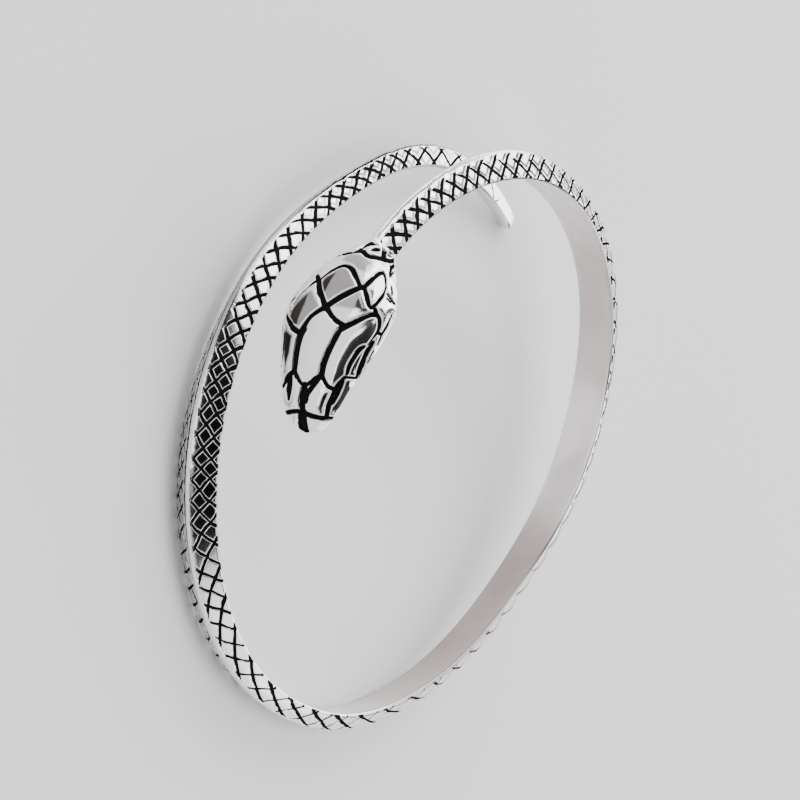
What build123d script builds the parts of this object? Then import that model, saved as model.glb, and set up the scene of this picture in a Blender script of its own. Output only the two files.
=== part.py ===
# Snake bracelet: one cast silver piece that winds once and a quarter round the wrist.
# The band has a flat inner face and a low roof outside, cut with a lattice of scales.
# It runs from a thin plain tail to a broad head, whose crown carries raised plates.
# The bracelet lies on its side, on its three lowest points, with the head strand on top.
# Origin: on the floor, below the middle of the bracelet's box. Z is up.
from build123d import *
import math
import os

# Driving dimensions are in millimetres and degrees.
# Wrist opening
wrist_length = 63.0
wrist_width = 53.0
turn = 451.5
tail_bearing = 104.5
end_spread = 12.8

# Band
band_width = 5.2
band_thickness = 2.5
rim_height = 0.45
roof_bulge = 0.12
tail_round = 0.8

# Scales on the band
scale_pitch = 2.4
scale_depth = 0.28
plain_tail = 15.0
scale_fade = 5.0

# Head
head_length = 19.5
head_width = 11.9
head_height = 3.1
head_rise = 0.2
jaw_height = 0.3
head_step = 0.45
plate_groove = 0.75
plate_depth = 0.35

# Centre line of the inner face, from the tail tip to the neck. Along is the share of the
# turn, out the share by which the radius leans from the narrow to the long wrist radius,
# rise the share of end_spread, width and thick the shares of the band's, lean in degrees.
PATH_COLUMNS = ("along", "out", "rise", "width", "thick", "lean")
PATH = (
    (0.000, 0.92, -0.035, 0.25, 0.84, 3),
    (0.078, 0.34, 0.080, 0.35, 0.94, 3),
    (0.155, -0.04, 0.144, 0.53, 0.82, 1),
    (0.233, 0.22, 0.174, 0.79, 0.89, -4),
    (0.310, 0.75, 0.274, 0.93, 0.78, -2),
    (0.388, 0.93, 0.371, 0.86, 0.62, 3),
    (0.465, 0.50, 0.411, 0.86, 0.77, 6),
    (0.543, 0.10, 0.421, 0.91, 0.96, 8),
    (0.620, 0.15, 0.452, 0.92, 1.14, 12),
    (0.698, 0.70, 0.568, 1.02, 1.27, 13),
    (0.775, 0.94, 0.725, 1.00, 1.30, 12),
    (0.853, 0.55, 0.881, 1.08, 1.16, 7),
    (0.930, 0.17, 0.982, 0.80, 1.03, 5),
    (1.000, 0.08, 1.012, 0.74, 0.87, 2),
)

# Head sections from the neck to the nose: shares of the head's length, half width and height
HEAD_COLUMNS = ("along", "width", "height")
HEAD = (
    (0.00, 0.33, 0.71),
    (0.07, 0.48, 0.85),
    (0.15, 0.65, 0.96),
    (0.25, 0.85, 1.00),
    (0.37, 1.00, 0.98),
    (0.50, 0.98, 0.92),
    (0.64, 0.83, 0.83),
    (0.78, 0.65, 0.70),
    (0.90, 0.50, 0.52),
    (0.96, 0.38, 0.39),
    (0.985, 0.27, 0.30),
    (1.00, 0.15, 0.20),
)

# Corners of the head plates: share of the head's length, share of the way from the
# middle of the crown to the jaw. The other side mirrors them.
CORNERS = {
    "collar": (0.11, 0.00),
    "collar_side": (0.13, 0.45),
    "crown": (0.20, 0.00),
    "nape": (0.29, 0.30),
    "cross": (0.43, 0.00),
    "shoulder": (0.49, 0.21),
    "lid_top": (0.43, 0.43),
    "cheek_top": (0.37, 0.51),
    "brow": (0.79, 0.00),
    "brow_side": (0.725, 0.25),
    "brow_tip": (0.77, 0.49),
    "fork": (0.90, 0.00),
    "snout": (1.00, 0.00),
    "nostril": (0.92, 0.48),
    "lip": (0.90, 0.85),
    "temple": (0.16, 0.46),
    "temple_side": (0.19, 0.62),
    "cheek_back": (0.26, 0.69),
    "jaw_back": (0.30, 0.86),
    "cheek_mid": (0.41, 0.65),
    "jaw_mid": (0.46, 0.76),
    "lid_bend": (0.48, 0.58),
    "lid_low": (0.58, 0.50),
    "eye_back": (0.54, 0.70),
    "eye": (0.66, 0.83),
    "eye_top": (0.60, 0.55),
    "lore_top": (0.705, 0.60),
    "lore_low": (0.70, 0.87),
    "lip_line": (0.79, 0.95),
    "strip": (0.85, 0.64),
}

# Grooves between the plates, each along its named corners
GROOVES = (
    ("collar_side", "collar"),
    ("crown", "nape", "cheek_top", "cheek_back", "temple_side"),
    ("nape", "temple", "temple_side"),
    ("nape", "cross", "shoulder", "lid_top", "cheek_top"),
    ("cheek_back", "jaw_back"),
    ("shoulder", "brow_side", "brow", "fork", "snout"),
    ("brow_side", "brow_tip", "nostril"),
    ("fork", "nostril", "lip"),
    ("lid_top", "lid_bend", "lid_low", "brow_tip"),
    ("cheek_top", "cheek_mid", "jaw_mid", "eye_back", "eye", "lore_low"),
    ("eye_back", "eye_top", "lore_top", "lore_low", "lip_line"),
    ("lore_top", "strip"),
)


def column(table, columns, name):
    """The along values of a table with one of its columns."""
    place = columns.index(name)
    return [row[0] for row in table], [row[place] for row in table]


def smooth_curve(knots, values):
    """A smooth curve through the values, each row's slope taken from its neighbours."""
    slopes = []
    for i in range(len(knots)):
        low = max(i - 1, 0)
        high = min(i + 1, len(knots) - 1)
        slopes.append((values[high] - values[low]) / (knots[high] - knots[low]))

    def value(x):
        x = min(max(x, knots[0]), knots[-1])
        i = 0
        while i < len(knots) - 2 and x > knots[i + 1]:
            i += 1
        span = knots[i + 1] - knots[i]
        t = (x - knots[i]) / span
        rise = values[i + 1] - values[i]
        bend = t * (1 - t)
        start = slopes[i] * span - rise
        end = rise - slopes[i + 1] * span
        return values[i] + t * rise + bend * ((1 - t) * start + t * end)

    return value


def smooth_step(x):
    x = min(max(x, 0.0), 1.0)
    return x * x * (3 - 2 * x)


path = {name: smooth_curve(*column(PATH, PATH_COLUMNS, name)) for name in PATH_COLUMNS[1:]}
head = {name: smooth_curve(*column(HEAD, HEAD_COLUMNS, name)) for name in HEAD_COLUMNS[1:]}


def band_radius(share):
    narrow = wrist_width / 2
    return narrow + (wrist_length / 2 - narrow) * path["out"](share)


def bearing(share):
    return math.radians(tail_bearing + turn * share)


# Shares of the turn past the neck: where the nose is, and where the lean ends
HEAD_TURN = head_length / (math.radians(turn) * band_radius(1.0))
LEAN_FADE = 0.03


def place(share, across, out):
    """A point at a share of the turn, across the band and out from its inner face.

    Past the neck the line keeps its radius, rises to the nose, and the lean fades out.
    """
    on_band = min(share, 1.0)
    past_neck = share - on_band
    radius = band_radius(on_band)
    height = end_spread * path["rise"](on_band) + head_rise * past_neck / HEAD_TURN
    lean = math.radians(path["lean"](on_band)) * max(0.0, 1 - past_neck / LEAN_FADE)
    radius += out * math.cos(lean) - across * math.sin(lean)
    height += across * math.cos(lean) + out * math.sin(lean)
    angle = bearing(share)
    return (radius * math.cos(angle), radius * math.sin(angle), height)


def lengths_along(steps):
    """Distance from the tail tip along the inner face, at even shares of the turn."""
    total = [0.0]
    for i in range(steps):
        total.append(total[-1] + math.dist(place(i / steps, 0, 0), place((i + 1) / steps, 0, 0)))
    return total


MEASURE_STEPS = 900
measured = lengths_along(MEASURE_STEPS)
band_length = measured[-1]


def share_at(distance):
    """The share of the turn at a distance from the tail tip."""
    i = 0
    while i < MEASURE_STEPS - 1 and measured[i + 1] < distance:
        i += 1
    return (i + (distance - measured[i]) / (measured[i + 1] - measured[i])) / MEASURE_STEPS


# Lattice places across the roof, from rim to ridge to rim
LATTICE = (1.0, 0.65, 0.34, 0.0, -0.34, -0.65, -1.0)


def band_ring(distance, row):
    """Points round one section of the band, and the lattice's low and high points."""
    share = share_at(distance)
    tip = math.sqrt(1 - (1 - min(distance / tail_round, 1.0)) ** 2)
    half = band_width / 2 * path["width"](share) * tip
    thick = band_thickness * path["thick"](share)
    middle = thick / 2
    rim = min(rim_height, thick / 3)
    cut = scale_depth * smooth_step((distance - plain_tail) / scale_fade)
    points = []
    for i, lane in enumerate(LATTICE):
        edge = abs(lane) == 1.0
        bulge = 4 * roof_bulge * abs(lane) * (1 - abs(lane))
        out = rim + (thick - rim) * (1 - abs(lane)) + bulge
        low = not edge and (row + i) % 2 == 0
        points.append((lane * half, out - cut if low else out))
    points += [(-half, 0.0), (half, 0.0)]
    return [place(share, across, middle + (out - middle) * tip) for across, out in points]


# Points round one head section: over the crown from jaw to jaw, and under the chin
CROWN_POINTS = 34
CHIN_POINTS = 6


def groove_lines():
    lines = []
    for groove in GROOVES:
        for side in (1, -1):
            corners = [(CORNERS[name][0], side * CORNERS[name][1]) for name in groove]
            lines.extend(zip(corners, corners[1:]))
    return lines


def groove_share(along, round_share, crown_arc, lines):
    """How much of the groove's depth is cut at a point of the crown."""
    nearest = plate_groove
    px, py = along * head_length, round_share * crown_arc
    for (ax, ay), (bx, by) in lines:
        sx, sy = ax * head_length, ay * crown_arc
        dx, dy = (bx - ax) * head_length, (by - ay) * crown_arc
        t = ((px - sx) * dx + (py - sy) * dy) / (dx * dx + dy * dy)
        t = min(max(t, 0.0), 1.0)
        nearest = min(nearest, math.hypot(px - sx - t * dx, py - sy - t * dy))
    return 1 - smooth_step(nearest / (plate_groove / 2))


def head_ring(along, lines):
    """Points round one section of the head, with the grooves cut into its crown."""
    share = 1.0 + along * HEAD_TURN
    half = head_width / 2 * head["width"](along)
    crown = head_height * head["height"](along)
    jaw = min(jaw_height, crown / 3)
    crown_arc = math.pi / 2 * math.sqrt((half**2 + (crown - jaw) ** 2) / 2)
    points = []
    for i in range(CROWN_POINTS + 1):
        round_share = 1 - 2 * i / CROWN_POINTS
        angle = math.pi / 2 * round_share
        across = half * math.sin(angle)
        out = jaw + (crown - jaw) * math.cos(angle)
        cut = plate_depth * groove_share(along, round_share, crown_arc, lines)
        size = math.hypot(across, out)
        keep = 1 - cut / size
        points.append((across * keep, out * keep))
    for i in range(1, CHIN_POINTS):
        angle = math.pi * i / CHIN_POINTS
        points.append((-half * math.cos(angle), jaw * (1 - math.sin(angle))))
    return [place(share, across, out) for across, out in points]


def zip_rings(first, second):
    """Triangles between two closed rings that may have different numbers of points."""
    triangles = []
    i = j = 0
    while i < len(first) or j < len(second):
        if j == len(second) or (i < len(first) and (i + 1) / len(first) <= (j + 1) / len(second)):
            triangles.append((first[i % len(first)], first[(i + 1) % len(first)],
                              second[j % len(second)]))
            i += 1
        else:
            triangles.append((first[i % len(first)], second[(j + 1) % len(second)],
                              second[j % len(second)]))
            j += 1
    return triangles


def lattice_rows(first, second, row):
    """Triangles between two band rings, split along the lattice's cut lines."""
    triangles = []
    count = len(first)
    for i in range(count):
        a, b = first[i], first[(i + 1) % count]
        c, d = second[(i + 1) % count], second[i]
        if (row + i) % 2 == 0:
            triangles += [(a, b, c), (a, c, d)]
        else:
            triangles += [(a, b, d), (b, c, d)]
    return triangles


def closing_fan(ring, tip):
    """Triangles from the sides of a ring to one point."""
    return [(tip, ring[i], ring[(i + 1) % len(ring)]) for i in range(len(ring))]


def middle_point(points):
    return tuple(sum(p[k] for p in points) / len(points) for k in range(3))


# Shares of tail_round at which the rounded tail tip has its sections
TAIL_CAP = (0.12, 0.5)


def bracelet_skin():
    """Triangles of the whole surface, from the tail tip to the nose."""
    rows = round(band_length / (scale_pitch / 2))
    rings = [band_ring(band_length * i / rows, i) for i in range(rows + 1)]
    rings[0:1] = [band_ring(tail_round * cap, 0) for cap in TAIL_CAP]
    tip = place(0.0, 0.0, band_thickness * path["thick"](0.0) / 2)
    triangles = closing_fan(rings[0][::-1], tip)
    for i in range(len(rings) - 1):
        triangles += lattice_rows(rings[i], rings[i + 1], i + 1 - len(TAIL_CAP))
    lines = groove_lines()
    head_rows = round(head_length / head_step)
    head_rings = [head_ring(i / head_rows, lines) for i in range(1, head_rows + 1)]
    triangles += zip_rings(rings[-1], head_rings[0])
    for first, second in zip(head_rings, head_rings[1:]):
        triangles += zip_rings(first, second)
    return triangles + closing_fan(head_rings[-1], middle_point(head_rings[-1]))


def volume_and_middle(triangles):
    """Volume of a closed skin, and its centre of mass."""
    volume = 0.0
    moment = [0.0, 0.0, 0.0]
    for a, b, c in triangles:
        cross = (b[1] * c[2] - b[2] * c[1], b[2] * c[0] - b[0] * c[2], b[0] * c[1] - b[1] * c[0])
        part = sum(a[k] * cross[k] for k in range(3)) / 6
        volume += part
        for k in range(3):
            moment[k] += part * (a[k] + b[k] + c[k]) / 4
    return volume, [m / volume for m in moment]


def plane_through(points):
    """The slopes and height of the plane z = a x + b y + c through three points."""
    (x0, y0, z0), (x1, y1, z1), (x2, y2, z2) = points
    area = (x1 - x0) * (y2 - y0) - (x2 - x0) * (y1 - y0)
    a = ((z1 - z0) * (y2 - y0) - (z2 - z0) * (y1 - y0)) / area
    b = ((x1 - x0) * (z2 - z0) - (x2 - x0) * (z1 - z0)) / area
    return a, b, z0 - a * x0 - b * y0


def surrounds(points, middle):
    """Whether three points lie round the middle, seen from above."""
    turns = []
    for (x0, y0, _), (x1, y1, _) in zip(points, points[1:] + points[:1]):
        turns.append((x1 - x0) * (middle[1] - y0) - (y1 - y0) * (middle[0] - x0))
    return min(turns) >= 0 or max(turns) <= 0


# The first feet are this near to three even bearings, so they lie round the middle
NEAR_BEARING = math.tau / 12


def resting_points(points, middle):
    """The three points that the body stands on: all others are above their plane."""
    feet = []
    for sector in range(3):
        near = []
        for p in points:
            angle = math.atan2(p[1] - middle[1], p[0] - middle[0]) - sector * math.tau / 3
            if math.cos(angle) > math.cos(NEAR_BEARING):
                near.append(p)
        feet.append(min(near, key=lambda p: p[2]))
    while True:
        a, b, c = plane_through(feet)
        lowest = min(points, key=lambda p: p[2] - a * p[0] - b * p[1] - c)
        if lowest[2] - a * lowest[0] - b * lowest[1] - c > -1e-6:
            return feet
        for k in range(3):
            tried = feet[:k] + [lowest] + feet[k + 1:]
            if surrounds(tried, middle):
                feet = tried
                break


def settled(triangles):
    """The skin turned to lie on its three lowest points, its box centred on the origin."""
    volume, middle = volume_and_middle(triangles)
    points = sorted({p for triangle in triangles for p in triangle})
    a, b, _ = plane_through(resting_points(points, middle))
    slope = math.hypot(a, b)
    axis = (-b / slope, a / slope, 0.0)
    tilt = math.atan(slope)
    turned = {}
    for p in points:
        along = sum(axis[k] * p[k] for k in range(3))
        cross = (axis[1] * p[2], -axis[0] * p[2], axis[0] * p[1] - axis[1] * p[0])
        turned[p] = [p[k] * math.cos(tilt) + cross[k] * math.sin(tilt)
                     + axis[k] * along * (1 - math.cos(tilt)) for k in range(3)]
    low = [min(q[k] for q in turned.values()) for k in range(3)]
    high = [max(q[k] for q in turned.values()) for k in range(3)]
    shift = ((low[0] + high[0]) / 2, (low[1] + high[1]) / 2, low[2])
    moved = {p: tuple(q[k] - shift[k] for k in range(3)) for p, q in turned.items()}
    bearing_of_axis = math.degrees(math.atan2(axis[1], axis[0]))
    print("turned to rest by", round(math.degrees(tilt), 3), "about bearing", bearing_of_axis)
    return [tuple(moved[p] for p in triangle) for triangle in triangles]


def solid_from(triangles):
    faces = [Face(Wire.make_polygon(corners)) for corners in triangles]
    return Solid(Shell(faces))


skin = settled(bracelet_skin())
print("triangles", len(skin), "band length", round(band_length, 2))
bangle = solid_from(skin)
bangle.label = "snake_bangle"
os.makedirs("parts", exist_ok=True)
export_step(bangle, "parts/snake_bangle.step")
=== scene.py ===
# The looks of the snake bracelet: its cut scales, its plated head and its silver.
# Lengths are in metres and angles in degrees.
from collections import Counter, defaultdict
import math
import bmesh
import bpy
import numpy as np
from mathutils import Matrix, Vector


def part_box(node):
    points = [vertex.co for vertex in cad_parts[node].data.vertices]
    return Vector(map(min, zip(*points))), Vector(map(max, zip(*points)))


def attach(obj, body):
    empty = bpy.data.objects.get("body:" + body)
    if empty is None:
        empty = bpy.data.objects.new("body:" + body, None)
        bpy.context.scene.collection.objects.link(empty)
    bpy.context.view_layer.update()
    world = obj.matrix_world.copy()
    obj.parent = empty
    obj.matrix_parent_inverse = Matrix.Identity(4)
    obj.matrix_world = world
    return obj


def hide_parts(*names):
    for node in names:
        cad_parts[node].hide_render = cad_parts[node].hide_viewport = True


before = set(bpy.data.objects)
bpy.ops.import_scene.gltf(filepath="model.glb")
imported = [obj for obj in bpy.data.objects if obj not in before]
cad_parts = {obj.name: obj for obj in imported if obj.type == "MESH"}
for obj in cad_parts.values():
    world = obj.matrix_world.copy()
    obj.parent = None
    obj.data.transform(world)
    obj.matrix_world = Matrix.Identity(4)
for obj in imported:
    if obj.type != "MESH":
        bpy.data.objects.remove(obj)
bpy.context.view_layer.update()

# Wrist opening
wrist_length = 0.063
wrist_width = 0.053
turn = 451.5
tail_bearing = 104.5
end_spread = 0.0128

# Band
band_width = 0.0052
band_thickness = 0.0025
rim_height = 0.00045
roof_bulge = 0.00012
ridge_softness = 0.10
tail_round = 0.0016

# Scales on the band
scale_lanes = 3
groove_depth = 0.00018
groove_width = 0.00040
rib_lane = 0.42
rib_depth = 0.00007
plain_tail = 0.0042
scale_fade = 0.0020

# Head
head_length = 0.0195
head_width = 0.0119
head_height = 0.0031
head_rise = 0.0002
jaw_height = 0.0003
plate_groove = 0.00048
plate_depth = 0.00030
plate_dome = 0.00020
plate_burr = 0.00004

# How the settled bracelet leans from the plane of its coil
rest_tilt = 4.503
rest_bearing = 58.467

# Centre line of the inner face, from the tail tip to the neck. Along is the share of the
# turn, out the share by which the radius leans from the narrow to the long wrist radius,
# rise the share of end_spread, width and thick the shares of the band's, lean in degrees.
PATH_COLUMNS = ("along", "out", "rise", "width", "thick", "lean")
PATH = (
    (0.000, 0.92, -0.035, 0.25, 0.84, 3),
    (0.078, 0.34, 0.080, 0.35, 0.94, 3),
    (0.155, -0.04, 0.144, 0.53, 0.82, 1),
    (0.233, 0.22, 0.174, 0.79, 0.89, -4),
    (0.310, 0.75, 0.274, 0.93, 0.78, -2),
    (0.388, 0.93, 0.371, 0.86, 0.62, 3),
    (0.465, 0.50, 0.411, 0.86, 0.77, 6),
    (0.543, 0.10, 0.421, 0.91, 0.96, 8),
    (0.620, 0.15, 0.452, 0.92, 1.14, 12),
    (0.698, 0.70, 0.568, 1.02, 1.27, 13),
    (0.775, 0.94, 0.725, 1.00, 1.30, 12),
    (0.853, 0.55, 0.881, 1.08, 1.16, 7),
    (0.930, 0.17, 0.982, 0.80, 1.03, 5),
    (1.000, 0.08, 1.012, 0.74, 0.87, 2),
)

# How the graver was held along the band. Left and right are how many cuts of each slant
# have been passed two lanes out from the ridge, the leans how many more each lane adds,
# margin the lane where the cuts stop short of the ridge and short how much sooner the left
# ones stop, rib and far_rib the depth of the lines along the ridge's two sides, deep and
# wide shares of the groove's sizes, heavy how much wider the left cuts are, then how strong a
# painted line of shade follows two sides inside each scale, and how dark the scales and the
# ridge are painted, as painted dark reflections.
CUT_COLUMNS = ("along", "left", "right", "left_lean", "right_lean", "margin", "short", "rib",
               "far_rib", "deep", "wide", "heavy", "echo", "painted_shading", "ridge_painted_shade")
CUTS = (
    (-0.042, -13, -13.4, 0.2, 0.2, 0.5, 0, 0.3, 0, 0.3, 0.25, 1, 0, 0, 0),
    (0.000, -10, -10.4, 0.2, 0.2, 0.5, 0, 0.3, 0, 0.3, 0.25, 1, 0, 0, 0),
    (0.040, -7.5, -7.9, 0.22, 0.22, 0.5, 0, 0.4, 0, 0.4, 0.3, 1, 0, 0, 0.1),
    (0.075, -5.3, -5.75, 0.28, 0.28, 0.55, 0, 0.5, 0, 0.6, 0.5, 1, 0.3, 0, 0.35),
    (0.110, -2.7, -3.2, 0.38, 0.38, 0.6, 0, 0.8, 0, 0.7, 0.65, 1, 0.6, 0, 0.55),
    (0.137, 0, -0.45, 0.49, 0.49, 0.6, 0, 1, 0, 0.8, 0.75, 1, 0.7, 0, 0.6),
    (0.170, 3.3, 2.8, 0.49, 0.49, 0.65, 0, 0.9, 0, 1, 0.85, 1, 0.5, 0, 0.65),
    (0.210, 7.25, 6.8, 0.49, 0.49, 0.7, 0, 0.1, 0.5, 1, 0.9, 1, 0, 0, 0.65),
    (0.240, 10.5, 10, 0.54, 0.54, 0.65, 0, 0, 0.9, 1, 0.9, 1, 0, 0.35, 0.6),
    (0.263, 13.1, 12.5, 0.6, 0.6, 0.52, 0, 0, 1, 1, 0.9, 1, 0, 0.75, 0.4),
    (0.300, 17.15, 16.6, 0.6, 0.55, 0.45, 0, 0, 1, 1, 0.8, 1, 0, 0.85, 0.1),
    (0.331, 20.7, 20.15, 0.52, 0.44, 0.35, 0, 0, 0.9, 1, 0.85, 1, 0, 0.8, 0.1),
    (0.352, 22.5, 22.55, 0.55, 0.32, 0.25, 0, 0, 0.5, 1, 0.9, 1, 0, 0.45, 0),
    (0.378, 24.25, 25.8, 0.58, 0.28, 0.25, 0, 0, 0, 1, 0.9, 1, 0, 0, 0),
    (0.410, 25.9, 29, 0.6, 0.23, 0.3, 0, 0, 0, 1, 0.9, 1, 0, 0, 0),
    (0.452, 28.2, 32.6, 0.6, 0.22, 0.2, 0, 0, 0, 0.9, 0.9, 1, 0, 0, 0),
    (0.504, 31.2, 37.2, 0.5, 0.22, 0.1, 0, 0, 0, 0.6, 0.75, 1, 0, 0, 0),
    (0.547, 33.6, 40.9, 0.42, 0.25, 0.1, 0.2, 0, 0, 0.5, 0.7, 1, 0, 0, 0),
    (0.620, 38.9, 46.6, 0.41, 0.33, 0.2, 0.4, 0, 0, 0.3, 0.5, 1.4, 0, 0, 0),
    (0.680, 43.2, 51.3, 0.41, 0.39, 0.25, 0.6, 0, 0, 0.4, 0.6, 1.9, 0, 0, 0),
    (0.788, 51, 59.8, 0.4, 0.5, 0.4, 0.6, 0, 0, 0.9, 0.8, 2, 0.5, 0, 0),
    (0.857, 56, 66.55, 0.42, 0.58, 0.45, 0.6, 0, 0, 1, 0.8, 1.7, 0.85, 0, 0),
    (0.900, 59.15, 70.93, 0.42, 0.6, 0.55, 0.6, 0, 0, 1, 0.85, 1.3, 0.9, 0, 0),
    (0.932, 62.15, 74.1, 0.45, 0.56, 0.6, 0.4, 0.5, 0, 1, 0.9, 1, 0.85, 0, 0),
    (0.958, 65.15, 76.95, 0.48, 0.5, 0.65, 0.3, 0.7, 0, 1, 1, 1, 0.7, 0, 0),
    (1.000, 70.1, 81.6, 0.48, 0.45, 0.75, 0, 0.7, 0, 1, 1.15, 1, 0.5, 0, 0),
    (1.042, 75, 86.3, 0.48, 0.45, 0.75, 0, 0.7, 0, 1, 1.15, 1, 0, 0, 0),
)

# Painted shade along the inner face: 1 the darkest, 0 a painted highlight
INNER_SHADE_COLUMNS = ("along", "inner_shade")
INNER_SHADE = ((0.00, 0.20), (0.42, 0.20), (0.48, 0.25), (0.504, 0.30), (0.53, 0.48), (0.57, 0.68),
        (0.61, 0.66), (0.645, 0.66), (0.665, 0.16), (0.685, 0.08), (0.70, 0), (0.715, 0.04),
        (0.735, 0.34), (0.76, 0.50), (0.79, 0.46), (0.82, 0.28), (1.00, 0.20))

# Head sections from the neck to the nose: shares of the head's length, half width and height
HEAD_COLUMNS = ("along", "width", "height")
HEAD = (
    (0.00, 0.33, 0.71),
    (0.07, 0.48, 0.85),
    (0.15, 0.65, 0.96),
    (0.25, 0.85, 1.00),
    (0.37, 1.00, 0.98),
    (0.50, 0.98, 0.92),
    (0.64, 0.83, 0.83),
    (0.78, 0.65, 0.70),
    (0.90, 0.50, 0.52),
    (0.96, 0.40, 0.40),
    (1.00, 0.33, 0.30),
)

# Cuts between the head's plates, and what each passes through: hundredths of the head's
# length, hundredths of the way from the middle of the crown to the jaw, and tenths of the
# plate groove's width
PLATE_CUTS = {
    "crown_arch": ((29, 30, 8), (25.5, 21, 10), (21.5, 9, 10), (20.3, -3, 9), (21.5, -12, 9),
        (25, -22, 9), (29, -29, 9)),
    "crown_right": ((29, 31, 9), (33, 19, 12), (37, 9, 12), (42.5, -2, 12)),
    "crown_left": ((42.5, -3, 11), (38, -12, 11), (34, -21, 11), (30, -30, 10), (26.5, -43, 7)),
    "temple_low": ((29, 33, 10), (26, 38, 10), (22, 44, 8), (18.5, 51, 9), (17, 58, 9),
        (19, 64, 8)),
    "temple_front": ((29, 35, 10), (32, 41, 11), (36, 47, 9), (37.5, 51, 5)),
    "temple_top": ((19, 64, 8), (23.5, 66.5, 5), (28, 64, 7), (32, 59, 8), (35, 55, 8),
        (37.5, 51, 6)),
    "temple_left": ((30, -33, 8), (35, -44, 7), (42, -55, 8)),
    "brow_back": ((37.5, 57.5, 10), (39.2, 61, 10), (40, 55, 10), (42, 48, 10), (45, 40, 11),
        (48, 32, 12), (50.5, 26, 12)),
    "brow_right": ((49, 25, 10), (55, 23.5, 11), (62, 22.5, 12), (68, 23, 12), (72.5, 25, 12)),
    "brow_inner": ((48.5, 26, 10), (47.5, 17, 10), (45.5, 8, 10), (42.5, -2, 12)),
    "brow_outer": ((43, -3, 11), (45, -9, 10), (49, -17, 9), (55, -23, 15)),
    "brow_left": ((54, -18, 9), (58, -24, 17), (64, -25, 16), (70, -25, 14), (73.5, -25, 12)),
    "brow_front": ((72.5, 25, 11), (75.5, 15, 9), (78.5, 3, 8), (78.5, -6, 8), (76.5, -15, 9),
        (73.5, -25, 11)),
    "lid_front": ((72.5, 25, 10), (75, 33, 9), (76.8, 42, 8), (77.5, 55, 8)),
    "lid_left_back": ((55.5, -30, 12), (54, -41, 12), (52, -48, 12), (50, -57, 11), (47, -68, 9)),
    "lid_left_front": ((73.5, -26, 12), (75, -35, 10), (77, -43, 10), (80, -54, 9), (81, -64, 7)),
    "snout_right": ((73, 24, 12), (79, 14, 11), (83, 7, 10), (85, 2, 18)),
    "snout_left": ((78.5, 0, 13), (82, 0, 15), (86, -2, 14), (90.5, 2, 10)),
    "nose_wedge": ((90.5, 4, 13), (93.5, 1, 18), (96, -1, 21), (98.5, -4, 22)),
    "muzzle": ((90.5, 97, 6), (91, 70, 9), (91.6, 45, 10), (91.5, 25, 10), (90.8, 5, 9),
        (90.7, -10, 9), (91.3, -25, 9), (92, -40, 9), (92.5, -60, 8), (92, -90, 6)),
    "nostril_right": ((73, 66.5, 7), (77, 68, 10), (81, 68, 10), (84, 66.5, 6)),
    "nostril_left": ((75.5, -31, 7), (79, -34.5, 16), (83, -37.5, 15), (86, -38, 8)),
    "lore_low": ((71, 64, 10), (75, 60, 12), (80, 58.5, 10), (86, 60, 12), (90.5, 66, 11)),
    "collar": ((0, 100, 13), (2, 90, 14), (4.5, 77, 16), (7.5, 64, 16), (9.2, 52, 13),
        (10.5, 38, 12), (11.8, 23, 13), (10.4, 6, 10), (11.8, -10, 10), (13.5, -25, 8),
        (14, -50, 8), (12, -90, 7)),
    "collar_fold": ((4.5, 97, 7), (7.5, 87, 9), (11, 78, 9), (15.5, 74, 7)),
    "neck_first": ((0, 36, 11), (3, 43, 12), (6, 48, 11), (9.2, 51, 10)),
    "neck_second": ((0, 19, 11), (2.2, 7, 12), (5, -2, 12), (9.5, -3, 10)),
    "neck_third": ((0, 70, 12), (1.2, 64, 13), (3, 60, 9)),
    "neck_spot": ((3.5, 26, 9), (5.5, 23.5, 15), (7.2, 21, 8)),
    "neck_left": ((0, -20, 10), (4, -32, 10), (8, -42, 8)),
    "neck_far": ((0, -55, 10), (3, -68, 10), (6, -80, 8)),
}

# The same for cuts that both sides of the head have
PAIRED_CUTS = {
    "lore": ((69, 97, 5), (70, 80, 6), (71, 65, 8)),
    "lid_crease": ((55, 66.5, 8), (57, 62.5, 11), (62, 60.5, 11), (66, 61, 11), (69, 64.5, 9)),
    "lid_back": ((39, 61, 10), (40.2, 68, 11), (43, 73, 10), (46, 75, 8), (50, 73, 5),
        (53.5, 71, 5)),
    "eye": ((52, 77, 12), (56, 76.5, 15), (60, 79, 14), (64, 85, 19), (68, 92, 16)),
    "cheek": ((34.5, 88.5, 5), (40, 86.5, 7), (46, 85, 7), (51.5, 87, 6)),
    "cheek_link": ((46.7, 85, 7), (46.5, 75, 8)),
    "jaw_back": ((28, 97, 6), (28.7, 87, 8), (27.5, 78, 8), (26.5, 71, 7)),
    "jaw_nick": ((29, 71, 5), (29.7, 79, 5)),
    "cheek_nick": ((21.5, 79, 7), (25, 81, 7)),
    "side_first": ((3, 98, 5), (6, 90, 6), (10, 80, 5)),
    "side_second": ((10, 95, 5), (12.5, 85, 5), (16.5, 74, 6)),
    "side_third": ((10, 72, 5), (14, 80, 5), (17, 90, 5)),
}

# Painted dark reflections on the plates: how dark, and each patch's corners in the same hundredths
PAINTED_REFLECTION_PATCHES = {
    "crown": (0.72, (21, -8), (28, -27), (42, -5), (30, 24), (22, 12)),
    "crown_shade": (0.99, (23.5, -7.5), (27.5, -20), (31.5, -24.5), (38.5, -8.5)),
    "temple": (0.74, (35, -30), (43, -7), (53, -28), (50, -52), (42, -50)),
    "temple_shade": (0.99, (35.5, -30.5), (42, -27.5), (53, -31.5), (53, -42), (49.5, -52),
        (43, -47)),
    "brow": (1, (57.5, -36.5), (66, -37.5), (72.5, -45.5), (66.5, -56.5), (55, -61), (54.5, -54)),
    "crown_side": (0.62, (31, 31), (40, 40), (41.5, 6), (37, 12)),
    "nape": (0.62, (13, 12), (16, 40), (25, 30), (20, 0), (19, -20), (13, -10)),
    "snout": (0.85, (79, 40), (81, 47), (86, 46), (88, 38)),
}
REFLECTION_PATCH_EDGE = 0.00018


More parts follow.
